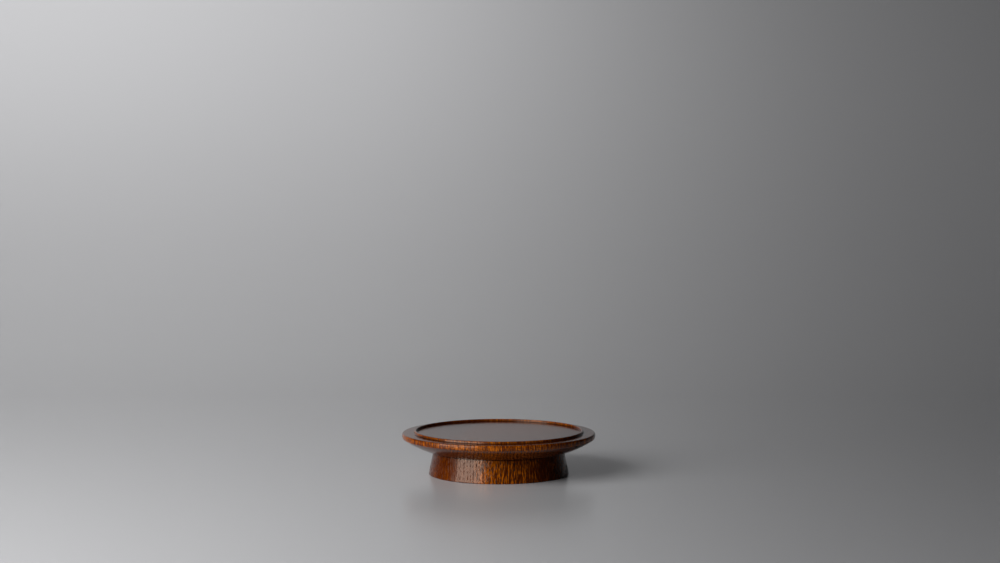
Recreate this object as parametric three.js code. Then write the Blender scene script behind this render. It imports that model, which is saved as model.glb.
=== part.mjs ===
// A low turned wooden stand: a round dish on a hollow flared foot.
// Millimetres, +Z up. The origin is where the turning axis meets the surface that the stand rests on.

import * as THREE from 'three';

// Dish: the round top piece.
const dishDiameter = 90;
const dishThickness = 8.8;
const rimBandHeight = 2.4;
const rimFootInset = 0.25;
const rimBellyHeight = 1.1;
const rimTopRound = 1.2;
const rimFootRound = 0.25;

// Bead: the raised ring on top of the dish, round its flat floor.
const beadInnerDiameter = 76.6;
const beadWidth = 1.2;
const beadHeight = 1.1;
const beadLean = 0.3;
const beadRound = 0.4;
const beadCornerRound = 0.2;

// Underside: one long curve from the foot's neck to the rim, bent towards a circle this far above the neck.
const sweepDiameter = 78.6;
const sweepRise = 2.2;

// Foot: the hollow ring that carries the dish.
const footHeight = 10.5;
const footBaseDiameter = 65.4;
const neckDiameter = 60.9;
const bearingWidth = 4.8;
const footEdgeRound = 0.45;
const footInnerRound = 0.8;

// Glued joint: a short round spigot on the foot, in a shallow socket under the dish.
const spigotDiameter = 51;
const spigotWall = 3.5;
const spigotHeight = 1.8;
const spigotEdgeRound = 0.3;
const jointClearance = 0.3;

// Steps round the axis, along a rounded corner and along a long curve.
const turnSteps = 72;
const cornerSteps = 3;
const curveSteps = 8;

const shoulderZ = footHeight;
const ledgeZ = shoulderZ + dishThickness;
const beadTopZ = ledgeZ + beadHeight;
const dishRadius = dishDiameter / 2;
const neckRadius = neckDiameter / 2;
const spigotRadius = spigotDiameter / 2;
const spigotTopZ = shoulderZ + spigotHeight;

// A corner of a turned outline: its distance from the axis, its height, and how far back from
// the corner its rounding starts on each side.
function corner(radius, height, round = 0) {
  return { at: new THREE.Vector2(radius, height), round };
}

// The points of a rounded corner, from the straight side before it to the one after it.
function cornerPoints(before, { at, round }, after) {
  if (round === 0) return [at];
  const start = before.clone().sub(at).setLength(round).add(at);
  const end = after.clone().sub(at).setLength(round).add(at);
  return new THREE.QuadraticBezierCurve(start, at, end).getPoints(cornerSteps);
}

// The whole outline, through corners that may be rounded. A closed one joins its last to its first.
function outline(corners, closed) {
  const last = corners.length - 1;
  const points = corners.flatMap((item, i) => {
    const before = corners[i === 0 ? last : i - 1].at;
    const after = corners[i === last ? 0 : i + 1].at;
    return cornerPoints(before, item, after);
  });
  return closed ? [...points, points[0].clone()] : points;
}

// A curve from one corner to another, bent towards a third, as the corners in between.
function sweep(from, towards, to) {
  const curve = new THREE.QuadraticBezierCurve(from.at, towards.at, to.at);
  return curve.getPoints(curveSteps).slice(1, -1).map((point) => corner(point.x, point.y));
}

// Turns an outline round the axis. Outlines run with the wood on their left.
function turned(points) {
  return new THREE.LatheGeometry(points, turnSteps).rotateX(Math.PI / 2);
}

function dishGeometry() {
  const socketRadius = spigotRadius + jointClearance;
  const socketZ = spigotTopZ + jointClearance;
  const beadInner = beadInnerDiameter / 2;
  const beadOuter = beadInner + beadWidth;
  const neck = corner(neckRadius, shoulderZ);
  const rimFoot = corner(dishRadius - rimFootInset, ledgeZ - rimBandHeight, rimFootRound);
  const towards = corner(sweepDiameter / 2, shoulderZ + sweepRise);
  return turned(outline([
    corner(0, socketZ),
    corner(socketRadius, socketZ),
    corner(socketRadius, shoulderZ),
    neck,
    ...sweep(neck, towards, rimFoot),
    rimFoot,
    corner(dishRadius, rimFoot.at.y + rimBellyHeight),
    corner(dishRadius, ledgeZ, rimTopRound),
    corner(beadOuter, ledgeZ, beadCornerRound),
    corner(beadOuter - beadLean, beadTopZ, beadRound),
    corner(beadInner, beadTopZ, beadRound),
    corner(beadInner, ledgeZ, beadCornerRound),
    corner(0, ledgeZ),
  ], false));
}

function footGeometry() {
  const baseRadius = footBaseDiameter / 2;
  const hollow = corner(baseRadius - footEdgeRound - bearingWidth - footInnerRound, 0, footInnerRound);
  const spigotInner = corner(spigotRadius - spigotWall, spigotTopZ);
  const towards = corner(hollow.at.x, shoulderZ);
  return turned(outline([
    hollow,
    corner(baseRadius, 0, footEdgeRound),
    corner(neckRadius, shoulderZ),
    corner(spigotRadius, shoulderZ),
    corner(spigotRadius, spigotTopZ, spigotEdgeRound),
    spigotInner,
    ...sweep(spigotInner, towards, hollow),
  ], true));
}

const lacqueredWood = {
  dish: { color: '#7c4a20', roughness: 0.3, metalness: 0 },
  foot: { color: '#80491a', roughness: 0.3, metalness: 0 },
};

function piece(name, geometry) {
  const mesh = new THREE.Mesh(geometry, new THREE.MeshStandardMaterial(lacqueredWood[name]));
  mesh.name = name;
  return mesh;
}

const stand = new THREE.Group();
stand.add(piece('dish', dishGeometry()));
stand.add(piece('foot', footGeometry()));

export default stand;
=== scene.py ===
from math import cos, pi, radians, sin

import bmesh
import bpy
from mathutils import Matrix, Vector


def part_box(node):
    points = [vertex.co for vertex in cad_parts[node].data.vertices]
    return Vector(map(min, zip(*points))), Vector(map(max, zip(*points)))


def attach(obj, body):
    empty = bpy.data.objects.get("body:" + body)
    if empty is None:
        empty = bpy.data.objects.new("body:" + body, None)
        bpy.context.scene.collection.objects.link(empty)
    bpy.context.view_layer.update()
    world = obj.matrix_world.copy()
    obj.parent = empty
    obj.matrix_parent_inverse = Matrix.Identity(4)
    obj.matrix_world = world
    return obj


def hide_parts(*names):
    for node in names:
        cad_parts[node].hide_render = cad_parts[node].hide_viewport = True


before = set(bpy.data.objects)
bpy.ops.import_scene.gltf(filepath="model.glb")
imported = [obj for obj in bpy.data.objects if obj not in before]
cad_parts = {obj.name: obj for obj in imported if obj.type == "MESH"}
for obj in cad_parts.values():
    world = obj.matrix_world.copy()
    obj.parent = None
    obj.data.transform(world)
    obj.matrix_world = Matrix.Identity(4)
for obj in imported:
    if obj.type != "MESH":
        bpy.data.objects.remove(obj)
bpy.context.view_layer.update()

# Camera: the photograph's view, from the front and a little above the dish, through a long lens, so that
# the round dish shows as a thin ellipse. Sizes are in mm up to the studio, and MM makes them metres.
MM = 0.001
CAMERA_PLACE = Vector((0.58, -1019.6, 160.7)) * MM
CAMERA_PITCH = radians(3.989)
LENS_LENGTH = 79.42
SENSOR_WIDTH = 36

camera = bpy.data.objects.new("camera", bpy.data.cameras.new("camera"))
bpy.context.scene.collection.objects.link(camera)
camera.location = CAMERA_PLACE
camera.rotation_euler = (pi / 2 - CAMERA_PITCH, 0, 0)
camera.data.lens = LENS_LENGTH
camera.data.sensor_width = SENSOR_WIDTH
bpy.context.scene.camera = camera
bpy.context.scene.view_settings.view_transform = "Standard"

# Dish: one round board of zelkova, turned on the lathe with its grain upright. The turner leaves a flat
# floor, one raised bead round it, a flat ledge and a rounded rim, and sweeps the underside into the
# foot. Underneath, a shallow round socket takes the foot's spigot and the glue.
dish_low, dish_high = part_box("dish")
DISH_RADIUS = dish_high.x / MM
BEAD_TOP_Z = dish_high.z / MM
SHOULDER_Z = dish_low.z / MM
SOCKET_RADIUS = 25.8
SOCKET_DEPTH = 2.1
NECK_RADIUS = 30.45
SWEEP_RADIUS = 39.0
SWEEP_RISE = 2.45
BEAD_INNER = 38.3
BEAD_WIDTH = 1.2
BEAD_OUTER = BEAD_INNER + BEAD_WIDTH
BEAD_LEAN = 0.3
BEAD_HEIGHT = 1.1
LEDGE_Z = BEAD_TOP_Z - BEAD_HEIGHT
RIM_BAND_HEIGHT = 2.4
RIM_FOOT_Z = LEDGE_Z - RIM_BAND_HEIGHT
RIM_FOOT_INSET = 0.25
RIM_BELLY_HEIGHT = 1.25
RIM_LEAN = 0.27
# Each rounding's size and the segments that draw it. The sweep's is so large that it makes one long curve.
BEAD_TOP_ROUND = (0.4, 6)
BEAD_FOOT_ROUND = (0.2, 3)
RIM_TOP_ROUND = (0.5, 6)
RIM_FOOT_ROUND = (0.25, 4)
SWEEP_ROUND = (6.4, 16)
TURNING_STEPS = 240
SHARP_ANGLE = radians(40)
# Points that are nearer than this lie in one place.
SAME_PLACE = 0.01


def turned(name, corners, closed):
    """A piece of turnery: an outline in mm, spun round Z. Each corner is a radius and a height, then, where
    it is rounded, the rounding and its segments. A closed outline joins its last corner to its first."""
    bm = bmesh.new()
    outline = [bm.verts.new((radius * MM, 0, height * MM)) for radius, height, *_ in corners]
    pairs = zip(outline, outline[1:] + outline[:1]) if closed else zip(outline, outline[1:])
    edges = [bm.edges.new(pair) for pair in pairs]
    bmesh.ops.spin(bm, geom=outline + edges, cent=(0, 0, 0), axis=(0, 0, 1), angle=2 * pi,
                   steps=TURNING_STEPS, use_merge=True)
    bmesh.ops.remove_doubles(bm, verts=bm.verts, dist=SAME_PLACE * MM)
    bmesh.ops.recalc_face_normals(bm, faces=bm.faces)
    for radius, height, *rounding in corners:
        if rounding:
            offset, segments = rounding
            loop = [edge for edge in bm.edges
                    if all(abs(vert.co.xy.length - radius * MM) < SAME_PLACE * MM
                           and abs(vert.co.z - height * MM) < SAME_PLACE * MM for vert in edge.verts)]
            bmesh.ops.bevel(bm, geom=loop, offset=offset * MM, offset_type="OFFSET", segments=segments,
                            affect="EDGES", profile=0.5, material=-1, clamp_overlap=False)
    for face in bm.faces:
        face.smooth = True
    mesh = bpy.data.meshes.new(name)
    bm.to_mesh(mesh)
    bm.free()
    mesh.set_sharp_from_angle(angle=SHARP_ANGLE)
    piece = bpy.data.objects.new(name, mesh)
    bpy.context.scene.collection.objects.link(piece)
    weighted = piece.modifiers.new("even_gloss", "WEIGHTED_NORMAL")
    weighted.keep_sharp = True
    return piece


dish = turned("dish_turned", [
    (0, SHOULDER_Z + SOCKET_DEPTH),
    (SOCKET_RADIUS, SHOULDER_Z + SOCKET_DEPTH),
    (SOCKET_RADIUS, SHOULDER_Z),
    (NECK_RADIUS, SHOULDER_Z),
    (SWEEP_RADIUS, SHOULDER_Z + SWEEP_RISE, *SWEEP_ROUND),
    (DISH_RADIUS - RIM_FOOT_INSET, RIM_FOOT_Z, *RIM_FOOT_ROUND),
    (DISH_RADIUS, RIM_FOOT_Z + RIM_BELLY_HEIGHT),
    (DISH_RADIUS - RIM_LEAN, LEDGE_Z, *RIM_TOP_ROUND),
    (BEAD_OUTER, LEDGE_Z, *BEAD_FOOT_ROUND),
    (BEAD_OUTER - BEAD_LEAN, BEAD_TOP_Z, *BEAD_TOP_ROUND),
    (BEAD_INNER, BEAD_TOP_Z, *BEAD_TOP_ROUND),
    (BEAD_INNER, LEDGE_Z, *BEAD_FOOT_ROUND),
    (0, LEDGE_Z),
], closed=False)


def linear(hex_colour):
    """An sRGB colour such as 7f3d05, as the linear red, green, blue and alpha that sockets hold."""
    channels = [int(hex_colour[i:i + 2], 16) / 255 for i in (0, 2, 4)]
    return [c / 12.92 if c <= 0.04045 else ((c + 0.055) / 1.055) ** 2.4 for c in channels] + [1]


def add(tree, kind, settings=None, inputs=None, output=0):
    """Adds a node with its settings and links, and gives one of its outputs. An input is set, by its name or
    number, to a number, a colour or another node's output."""
    node = tree.nodes.new(kind)
    for name, value in (settings or {}).items():
        setattr(node, name, value)
    for name, value in (inputs or {}).items():
        if isinstance(value, bpy.types.NodeSocket):
            tree.links.new(value, node.inputs[name])
        else:
            node.inputs[name].default_value = value
    return node.outputs[output]


# The timber's patterns, each with its size across the years, along them and up the grain. Real vessels are
# 0.2 to 0.3 mm wide and real fibres far finer: both are drawn as coarse as they need to be to show.
PITH_PLACE = (160.0, -30.0, 0.0)
YEAR_WIDTH = 1.5
YEAR_DRIFT = 3.0
DRIFT_WAVES_PER_MM = (0.14, 0.04, 0.004)
VESSEL_SIZE = (0.36, 0.5, 2.4)
FIBRE_SIZE = (0.42, 0.9, 16.0)
STREAK_SIZE = (1.8, 8.0, 30.0)
CLOUD_SIZE = (22.0, 40.0, 120.0)
# Where each change starts and where it is whole: from side to end grain by how far a face tilts up or down,
# from late to early wood in a year, into a row of early vessels, and from a pore's edge to its dark middle.
END_GRAIN_START, END_GRAIN_WHOLE = 0.7, 0.97
EARLY_WOOD_START, EARLY_WOOD_WHOLE = 0.6, 0.1
ROW_START, ROW_WHOLE = 0.05, 0.75
VESSEL_START, VESSEL_WHOLE = 0.55, 0.35
FINE_PORE_START, FINE_PORE_WHOLE = 0.54, 0.7
# How strongly a pattern shows on side grain and on end grain. End on, the years show as lines with their
# vessels in rows, and the fibres show less.
YEAR_TONE = (0.15, 0.5)
FIBRE_TONE = (4.6, 2.2)
STRAY_VESSELS = (0.45, 0.2)
FINE_PORES = (0.6, 0.3)
STREAK_TONE = 0.8
CLOUD_TONE = 0.8
MEAN_TONE = 0.66
# The lacquer: a thin wiped film shines less than a thick one, whose IOR is 1.5, and the stain warms it. It
# is dull where a pore is deep.
LACQUER_IOR = 1.4
LACQUER_TINT = "ffe2cb"
LACQUER_ROUGHNESS = 0.12
END_GRAIN_ROUGHNESS = 0.18
END_GRAIN_SHADE = "a49688"
# Painted shade in the corners: the distance at which it is whole, and how dark it gets there.
CORNER_SHADE_CORE = 0.1
CORNER_SHADE_DARKNESS = 0.8
PORE_DEPTH = 0.025
PORE_ROUGHNESS = 0.8
PORE_DULL_START, PORE_DULL_WHOLE = 0.4, 0.9
TOOL_MARK_WIDTH = 0.8
TOOL_MARK_DEPTH = 0.0015


def lacquered_zelkova(name, gold, brown, pore, board_place, grain_length, zones_and_shade, shaded_corners):
    """Ring-porous zelkova with its grain upright, turned, then wiped with clear brown lacquer. Each year
    opens with a row of wide vessels, which the lacquer fills nearly black: upright dashes on a turned side,
    dots on end grain. Fibres between them run from gold to red brown. End grain drinks more lacquer, so it
    is darker, and keeps faint tool marks.

    The piece's origin lies at board_place in the board, and grain_length stretches its vessels and fibres.
    A zone (start, whole, darker, plainer) changes the timber more and more between two distances from the
    pith, and stays whole beyond; a darker zone can stand for painted shade. A shaded corner (radius, height,
    reach) is painted shade darkening a corner round the axis, with some lacquer gathered in it."""
    material = bpy.data.materials.new(name)
    material.use_nodes = True
    tree = material.node_tree

    # Millimetres from the piece's origin, in the board, and along its stretched grain.
    place = add(tree, "ShaderNodeMapping", inputs={
        "Vector": add(tree, "ShaderNodeTexCoord", output="Object"), "Scale": [1 / MM] * 3})
    board = add(tree, "ShaderNodeMapping", inputs={"Vector": place, "Location": board_place})
    grain = add(tree, "ShaderNodeMapping", inputs={"Vector": board, "Scale": (1, 1, 1 / grain_length)})

    upward = add(tree, "ShaderNodeSeparateXYZ", inputs={
        0: add(tree, "ShaderNodeTexCoord", output="Normal")}, output="Z")
    end_grain = add(tree, "ShaderNodeMapRange", {"interpolation_type": "SMOOTHSTEP"}, {
        "Value": add(tree, "ShaderNodeMath", {"operation": "ABSOLUTE"}, {0: upward}),
        "From Min": END_GRAIN_START, "From Max": END_GRAIN_WHOLE})
    year_tone, fibre_tone, stray_vessels, fine_pores = [
        add(tree, "ShaderNodeMapRange", inputs={"Value": end_grain, "To Min": side, "To Max": end})
        for side, end in (YEAR_TONE, FIBRE_TONE, STRAY_VESSELS, FINE_PORES)]

    # Years: rings round a pith that lies far off to the right, so they cross the front nearly square. A slow
    # drift makes some of them wide and some narrow.
    drift = add(tree, "ShaderNodeTexNoise", inputs={
        "Vector": add(tree, "ShaderNodeMapping", inputs={"Vector": board, "Scale": DRIFT_WAVES_PER_MM}),
        "Scale": 1, "Detail": 2})
    pith_distance = add(tree, "ShaderNodeVectorMath", {"operation": "DISTANCE"}, {
        0: add(tree, "ShaderNodeMapping", inputs={"Vector": board, "Scale": (1, 1, 0)}),
        1: PITH_PLACE}, "Value")
    drifted = add(tree, "ShaderNodeMath", {"operation": "MULTIPLY_ADD"}, {
        0: drift, 1: YEAR_DRIFT, 2: pith_distance})
    year = add(tree, "ShaderNodeMath", {"operation": "DIVIDE"}, {0: drifted, 1: YEAR_WIDTH})
    season = add(tree, "ShaderNodeMath", {"operation": "FRACT"}, {0: year})
    early = add(tree, "ShaderNodeMapRange", {"interpolation_type": "SMOOTHSTEP"}, {
        "Value": season, "From Min": EARLY_WOOD_START, "From Max": EARLY_WOOD_WHOLE})

    # Zones: changes across the board in how dark the timber is and in how much figure it has. Some of the
    # darkening is painted shade on the side away from the key lamp.
    zone_and_shade_tone, figure = 0, 1
    for start, whole, darker, plainer in zones_and_shade:
        share = add(tree, "ShaderNodeMapRange", {"interpolation_type": "SMOOTHSTEP"}, {
            "Value": pith_distance, "From Min": start, "From Max": whole})
        zone_and_shade_tone = add(tree, "ShaderNodeMath", {"operation": "MULTIPLY_ADD"}, {
            0: share, 1: darker, 2: zone_and_shade_tone})
        kept = add(tree, "ShaderNodeMath", {"operation": "MULTIPLY_ADD"}, {0: share, 1: -plainer, 2: 1})
        figure = add(tree, "ShaderNodeMath", {"operation": "MULTIPLY"}, {0: kept, 1: figure})

    fibre, streak, cloud = [
        add(tree, "ShaderNodeTexNoise", inputs={
            "Vector": add(tree, "ShaderNodeMapping", inputs={
                "Vector": timber, "Scale": [1 / size for size in sizes]}),
            "Scale": 1, "Detail": detail})
        for timber, sizes, detail in (
            (grain, FIBRE_SIZE, 2), (board, STREAK_SIZE, 2), (board, CLOUD_SIZE, 1))]

    # Pores: wide vessels in rows where the years open, stray ones between, and fine pores all through.
    vessel = add(tree, "ShaderNodeTexVoronoi", inputs={
        "Vector": add(tree, "ShaderNodeMapping", inputs={
            "Vector": grain, "Scale": [1 / size for size in VESSEL_SIZE]}),
        "Scale": 1})
    wide_pore = add(tree, "ShaderNodeMath", {"operation": "MULTIPLY"}, {
        0: add(tree, "ShaderNodeMapRange", {"interpolation_type": "SMOOTHSTEP"}, {
            "Value": vessel, "From Min": VESSEL_START, "From Max": VESSEL_WHOLE}),
        1: add(tree, "ShaderNodeMapRange", {"interpolation_type": "SMOOTHSTEP"}, {
            "Value": early, "From Min": ROW_START, "From Max": ROW_WHOLE, "To Min": stray_vessels})})
    fine_pore = add(tree, "ShaderNodeMapRange", {"interpolation_type": "SMOOTHSTEP"}, {
        "Value": fibre, "From Min": FINE_PORE_START, "From Max": FINE_PORE_WHOLE, "To Max": fine_pores})
    pores = add(tree, "ShaderNodeMath", {"operation": "MAXIMUM"}, {0: wide_pore, 1: fine_pore})

    # Tone: 0 is gold and 1 is red brown, from the years, the fibres, the streaks and the clouds.
    tone = 0
    for pattern, strength in (
            (early, year_tone), (fibre, fibre_tone), (streak, STREAK_TONE), (cloud, CLOUD_TONE)):
        centred = add(tree, "ShaderNodeMath", {"operation": "SUBTRACT"}, {0: pattern, 1: 0.5})
        tone = add(tree, "ShaderNodeMath", {"operation": "MULTIPLY_ADD"}, {0: centred, 1: strength, 2: tone})
    tone = add(tree, "ShaderNodeMath", {"operation": "MULTIPLY_ADD"}, {0: tone, 1: figure, 2: zone_and_shade_tone})
    tone = add(tree, "ShaderNodeMath", {"operation": "ADD", "use_clamp": True}, {0: tone, 1: MEAN_TONE})
    # A colour mix keeps its share in socket 0, its two colours in sockets 6 and 7 and its result in output 2.
    wood = add(tree, "ShaderNodeMix", {"data_type": "RGBA"}, {0: tone, 6: linear(gold), 7: linear(brown)}, 2)

    # Lacquer: dark in the pores and darkening all of the end grain. Painted shade darkens the corners, with
    # some lacquer gathered in them.
    axis_distance = add(tree, "ShaderNodeVectorMath", {"operation": "LENGTH"}, {
        0: add(tree, "ShaderNodeMapping", inputs={"Vector": place, "Scale": (1, 1, 0)})}, "Value")
    section = add(tree, "ShaderNodeCombineXYZ", inputs={
        "X": axis_distance, "Y": add(tree, "ShaderNodeSeparateXYZ", inputs={0: place}, output="Z")})
    pores_and_corner_shade = add(tree, "ShaderNodeMath", {"operation": "MULTIPLY"}, {0: pores, 1: figure})
    # Painted shade in each listed corner, darkest at the corner itself.
    for radius, height, reach in shaded_corners:
        from_corner = add(tree, "ShaderNodeVectorMath", {"operation": "DISTANCE"}, {
            0: section, 1: (radius, height, 0)}, "Value")
        corner_shade = add(tree, "ShaderNodeMapRange", {"interpolation_type": "SMOOTHSTEP"}, {
            "Value": from_corner, "From Min": reach, "From Max": CORNER_SHADE_CORE, "To Max": CORNER_SHADE_DARKNESS})
        pores_and_corner_shade = add(tree, "ShaderNodeMath", {"operation": "MAXIMUM"}, {0: pores_and_corner_shade, 1: corner_shade})
    stained = add(tree, "ShaderNodeMix", {"data_type": "RGBA"}, {0: pores_and_corner_shade, 6: wood, 7: linear(pore)}, 2)
    colour = add(tree, "ShaderNodeMix", {"data_type": "RGBA", "blend_type": "MULTIPLY"}, {
        0: end_grain, 6: stained, 7: linear(END_GRAIN_SHADE)}, 2)

    # Relief: pores sink a little on side grain and are dull inside, and the turner's tool left faint rings on
    # end grain.
    side_grain = add(tree, "ShaderNodeMath", {"operation": "SUBTRACT"}, {0: 1, 1: end_grain})
    dents = add(tree, "ShaderNodeMath", {"operation": "MULTIPLY"}, {0: pores, 1: side_grain})
    smooth = add(tree, "ShaderNodeMapRange", inputs={
        "Value": end_grain, "To Min": LACQUER_ROUGHNESS, "To Max": END_GRAIN_ROUGHNESS})
    roughness = add(tree, "ShaderNodeMapRange", {"interpolation_type": "SMOOTHSTEP"}, {
        "Value": dents, "From Min": PORE_DULL_START, "From Max": PORE_DULL_WHOLE,
        "To Min": smooth, "To Max": PORE_ROUGHNESS})
    pore_relief = add(tree, "ShaderNodeBump", {"invert": True}, {
        "Height": dents, "Distance": PORE_DEPTH * MM})
    tool_mark = add(tree, "ShaderNodeTexNoise", {"noise_dimensions": "1D"}, {
        "W": axis_distance, "Scale": 1 / TOOL_MARK_WIDTH, "Detail": 1})
    relief = add(tree, "ShaderNodeBump", inputs={
        "Height": add(tree, "ShaderNodeMath", {"operation": "MULTIPLY"}, {0: tool_mark, 1: end_grain}),
        "Distance": TOOL_MARK_DEPTH * MM, "Normal": pore_relief})

    shader = tree.nodes["Principled BSDF"]
    shader.inputs["IOR"].default_value = LACQUER_IOR
    shader.inputs["Specular Tint"].default_value = linear(LACQUER_TINT)
    for socket, value in (("Base Color", colour), ("Roughness", roughness), ("Normal", relief)):
        tree.links.new(value, shader.inputs[socket])
    return material


# The photograph shows short dashes round the rim, so the dish's grain is drawn short. Its right side, away
# from the key lamp, is darkened with painted shade, and a band left of the middle, which ends before the
# left edge, is darker too.
dish.data.materials.append(lacquered_zelkova(
    "lacquered_zelkova_dish", gold="b8620a", brown="582002", pore="240902",
    board_place=(0, 0, 0), grain_length=0.3,
    # The first zone is painted shade on the right, away from the key lamp.
    zones_and_shade=[(145, 125, 0.3, 0), (174, 184, 0.35, 0.1), (194, 201, -0.3, 0)],
    # Painted shade at both feet of the bead and at the neck, with some lacquer gathered there.
    shaded_corners=[(BEAD_INNER, LEDGE_Z, 1.0), (BEAD_OUTER, LEDGE_Z, 1.0), (NECK_RADIUS, SHOULDER_Z, 0.4)]))
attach(dish, "root")
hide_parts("dish")

# Foot: a hollow ring turned from the same timber, flaring a little towards the table. It stands on a flat
# bearing rim with softened edges, and its shoulder is glued up against the dish, spigot in socket.
foot_low, foot_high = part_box("foot")
BASE_Z = foot_low.z / MM
SPIGOT_TOP_Z = foot_high.z / MM
BASE_RADIUS = 32.7
HOLLOW_RADIUS = 26.65
GLUE_GAP = 0.3
SPIGOT_RADIUS = SOCKET_RADIUS - GLUE_GAP
SPIGOT_WALL = 3.5
BASE_ROUND = (0.45, 4)
BASE_INNER_ROUND = (0.8, 4)
HOLLOW_TOP_ROUND = (4.0, 8)
SPIGOT_EDGE_ROUND = (0.3, 2)

foot = turned("foot_turned", [
    (HOLLOW_RADIUS, BASE_Z, *BASE_INNER_ROUND),
    (BASE_RADIUS, BASE_Z, *BASE_ROUND),
    (NECK_RADIUS, SHOULDER_Z),
    (SPIGOT_RADIUS, SHOULDER_Z),
    (SPIGOT_RADIUS, SPIGOT_TOP_Z, *SPIGOT_EDGE_ROUND),
    (SPIGOT_RADIUS - SPIGOT_WALL, SPIGOT_TOP_Z),
    (HOLLOW_RADIUS, SHOULDER_Z, *HOLLOW_TOP_ROUND),
], closed=True)

# The foot lies 40 mm up the same board and shows its fibres at their full length. Its right side, away from
# the key lamp, is darkened with painted shade, and its outer years, on the left, are darker and plain.
foot.data.materials.append(lacquered_zelkova(
    "lacquered_zelkova_foot", gold="a65606", brown="481a02", pore="1c0702",
    board_place=(0, 0, 40), grain_length=1,
    # The first zone is painted shade on the right, away from the key lamp.
    zones_and_shade=[(150, 138, 0.45, 0), (167, 173, 0.4, 0.7)],
    # Painted shade at the neck, where the foot meets the dish.
    shaded_corners=[(NECK_RADIUS, SHOULDER_Z, 0.4)]))
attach(foot, "root")
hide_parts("foot")

# Studio, in metres: a pale grey paper sweep that curves up from close behind the stand, so that it has no
# horizon, a soft lamp at the front left, reaching down to the table, another high behind the stand, which
# lights the paper, and a weak even fill.
PAPER_FRONT = 1.6
PAPER_BEND = 0.3
PAPER_ROUND = 1.9
PAPER_WIDTH = 6.0
PAPER_STEPS = 48

bm = bmesh.new()
near_edge = bm.edges.new([bm.verts.new((x, -PAPER_FRONT, 0)) for x in (-PAPER_WIDTH / 2, PAPER_WIDTH / 2)])
pulled = bmesh.ops.extrude_edge_only(bm, edges=[near_edge])["geom"]
far_verts = [item for item in pulled if isinstance(item, bmesh.types.BMVert)]
far_edge = [item for item in pulled
            if isinstance(item, bmesh.types.BMEdge) and set(item.verts) == set(far_verts)]
bmesh.ops.translate(bm, verts=far_verts, vec=(0, PAPER_FRONT + PAPER_BEND, 0))
bmesh.ops.spin(bm, geom=far_verts + far_edge, cent=(0, PAPER_BEND, PAPER_ROUND), axis=(1, 0, 0),
               angle=pi / 2, steps=PAPER_STEPS)
for face in bm.faces:
    face.smooth = True
mesh = bpy.data.meshes.new("paper_sweep")
bm.to_mesh(mesh)
bm.free()
paper_sweep = bpy.data.objects.new("paper_sweep", mesh)
bpy.context.scene.collection.objects.link(paper_sweep)

# Grey paper with painted shade, darkening from the left to the right, away from the lamps. Its smooth
# coating has a soft sheen.
PAPER_LIGHT = "c4c4c6"
PAPER_PAINTED_SHADE = "a6a6a8"
PAPER_LIGHT_X = -0.15
PAPER_PAINTED_SHADE_X = 0.4
PAPER_ROUGHNESS = 0.25

paper = bpy.data.materials.new("grey_paper")
paper.use_nodes = True
paper_shader = paper.node_tree.nodes["Principled BSDF"]
across = add(paper.node_tree, "ShaderNodeSeparateXYZ", inputs={
    0: add(paper.node_tree, "ShaderNodeTexCoord", output="Object")}, output="X")
# Painted shade: the paper darkens towards the right.
shade = add(paper.node_tree, "ShaderNodeMapRange", {"interpolation_type": "SMOOTHSTEP"}, {
    "Value": across, "From Min": PAPER_LIGHT_X, "From Max": PAPER_PAINTED_SHADE_X})
grey = add(paper.node_tree, "ShaderNodeMix", {"data_type": "RGBA"}, {
    0: shade, 6: linear(PAPER_LIGHT), 7: linear(PAPER_PAINTED_SHADE)}, 2)
paper.node_tree.links.new(grey, paper_shader.inputs["Base Color"])
paper_shader.inputs["Roughness"].default_value = PAPER_ROUGHNESS
paper_sweep.data.materials.append(paper)


def soft_lamp(name, place, target, size, brightness, spread=180):
    """A rectangular soft lamp that faces its target. Its power follows its area, so its brightness stays
    when its size changes. A grid narrows its spread, in degrees."""
    lamp = bpy.data.objects.new(name, bpy.data.lights.new(name, "AREA"))
    bpy.context.scene.collection.objects.link(lamp)
    width, height = size
    lamp.location = place
    lamp.rotation_mode = "QUATERNION"
    lamp.rotation_quaternion = (Vector(place) - Vector(target)).to_track_quat("Z", "Y")
    lamp.data.shape = "RECTANGLE"
    lamp.data.size = width
    lamp.data.size_y = height
    lamp.data.energy = brightness * pi * width * height
    lamp.data.spread = radians(spread)


KEY_DISTANCE = 0.8
KEY_AZIMUTH = radians(51)
KEY_ELEVATION = radians(23)
key_place = KEY_DISTANCE * Vector((
    -sin(KEY_AZIMUTH) * cos(KEY_ELEVATION), -cos(KEY_AZIMUTH) * cos(KEY_ELEVATION), sin(KEY_ELEVATION)))
soft_lamp("key", place=key_place, target=(0, 0, 0), size=(0.7, 0.64), brightness=6.6)
soft_lamp("backdrop_lamp", place=(-0.7, 0.9, 1.3), target=(-0.45, 1.35, 0.3), size=(1.0, 0.8),
          brightness=2.7, spread=110)

FILL_STRENGTH = 0.005
world = bpy.data.worlds.new("even_fill")
bpy.context.scene.world = world
world.use_nodes = True
fill = world.node_tree.nodes["Background"]
fill.inputs["Color"].default_value = (1, 1, 1, 1)
fill.inputs["Strength"].default_value = FILL_STRENGTH
